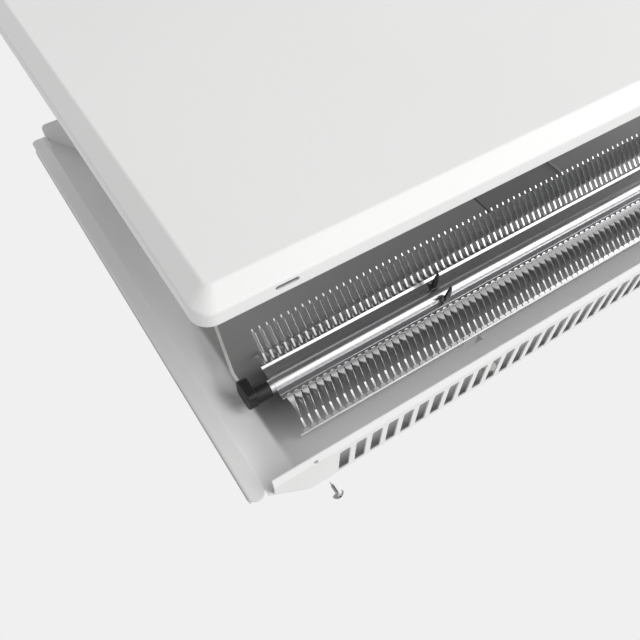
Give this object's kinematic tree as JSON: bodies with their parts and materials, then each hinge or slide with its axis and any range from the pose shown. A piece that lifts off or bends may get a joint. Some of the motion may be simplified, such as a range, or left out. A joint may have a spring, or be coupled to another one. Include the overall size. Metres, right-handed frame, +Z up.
{
  "type": "wall convector heater",
  "caption": "Wall-mounted electric panel convector heater with its dished front panel drawn off, showing the finned heating element across the vented back casing.",
  "frame": {"origin": "centre of the wall bracket's screw holes, on the wall plane", "axes": "+X to the heater's right seen from the room, +Y into the wall, +Z up"},
  "size_m": [0.725, 0.2249, 0.4487],
  "materials": {
    "casing_paint": "smooth white powder coat on folded sheet steel",
    "panel_paint": "smooth satin white powder coat",
    "bracket_paint": "matt light grey paint",
    "element_aluminium": "bare pressed aluminium",
    "rod_steel": "bright drawn steel",
    "galvanised_steel": "zinc-plated sheet steel",
    "screw_steel": "bright zinc-plated screws",
    "black_insulator": "black heat-resisting moulding",
    "white_plastic": "white moulded plastic",
    "grey_plastic": "grey moulded plastic",
    "knob_plastic": "white moulded plastic, polished",
    "rocker_plastic": "black moulded plastic, polished",
    "lens_red": "red translucent lens",
    "lead_white": "white heat-resisting sleeve",
    "lead_brown": "brown insulation",
    "lead_blue": "blue insulation",
    "lead_green": "green insulation"
  },
  "bodies": {
    "wall_bracket": {"wall_bracket": "bracket_paint"},
    "heater": {"back_casing": "casing_paint", "back_plug_left": "white_plastic", "back_plug_right": "white_plastic", "element_end_holder_left": "black_insulator", "element_end_holder_right": "black_insulator", "terminal_pin_left": "rod_steel", "terminal_pin_right": "rod_steel", "element_support_left": "galvanised_steel", "element_support_right": "galvanised_steel", "support_clip_left": "black_insulator", "support_clip_right": "black_insulator", "heating_rod": "rod_steel", "front_fin_sheet": "element_aluminium", "rear_fin_sheet": "element_aluminium", "control_box": "grey_plastic", "control_plate": "white_plastic", "control_screws": "screw_steel", "thermostat_body": "grey_plastic", "switch_body": "rocker_plastic", "indicator_lens": "lens_red", "rivets": "galvanised_steel", "left_element_lead": "lead_white", "right_element_lead": "lead_white", "cutout_lead": "lead_white", "lead_saddles": "white_plastic", "line_lead": "lead_brown", "neutral_lead": "lead_blue", "terminal_block": "white_plastic", "terminal_screws": "screw_steel", "cable_gland": "black_insulator", "gland_nut": "black_insulator", "earth_screw": "screw_steel", "earth_lead": "lead_green", "cutout_plate": "galvanised_steel", "thermal_cutout": "black_insulator"},
    "front_panel": {"front_panel": "panel_paint"},
    "retaining_screw_left": {"retaining_screw_left": "screw_steel"},
    "retaining_screw_right": {"retaining_screw_right": "screw_steel"},
    "thermostat_knob": {"thermostat_knob": "knob_plastic", "knob_shaft": "rod_steel"},
    "switch_rocker": {"switch_rocker": "rocker_plastic"}
  },
  "joints": [
    {"name": "heater_lift", "type": "slide", "parent": "wall_bracket", "child": "heater", "axis": [0, 0, 1], "range_m": [0, 0.004]},
    {"name": "panel_slide", "type": "slide", "parent": "heater", "child": "front_panel", "axis": [0, 0.987, -0.1606], "range_m": [0, 0.15197]},
    {"name": "screw_left_slide", "type": "slide", "parent": "heater", "child": "retaining_screw_left", "axis": [0, 0, 1], "range_m": [0, 0.024]},
    {"name": "screw_right_slide", "type": "slide", "parent": "heater", "child": "retaining_screw_right", "axis": [0, 0, 1], "range_m": [0, 0.024]},
    {"name": "knob_turn", "type": "hinge", "parent": "heater", "child": "thermostat_knob", "pos_m": [0.2865, -0.045, 0.2035], "axis": [0, 0, 1], "range_deg": [-135, 135]},
    {"name": "rocker_tilt", "type": "hinge", "parent": "heater", "child": "switch_rocker", "pos_m": [0.2405, -0.045, 0.198], "axis": [0, 1, 0], "range_deg": [0, 16]}
  ]
}
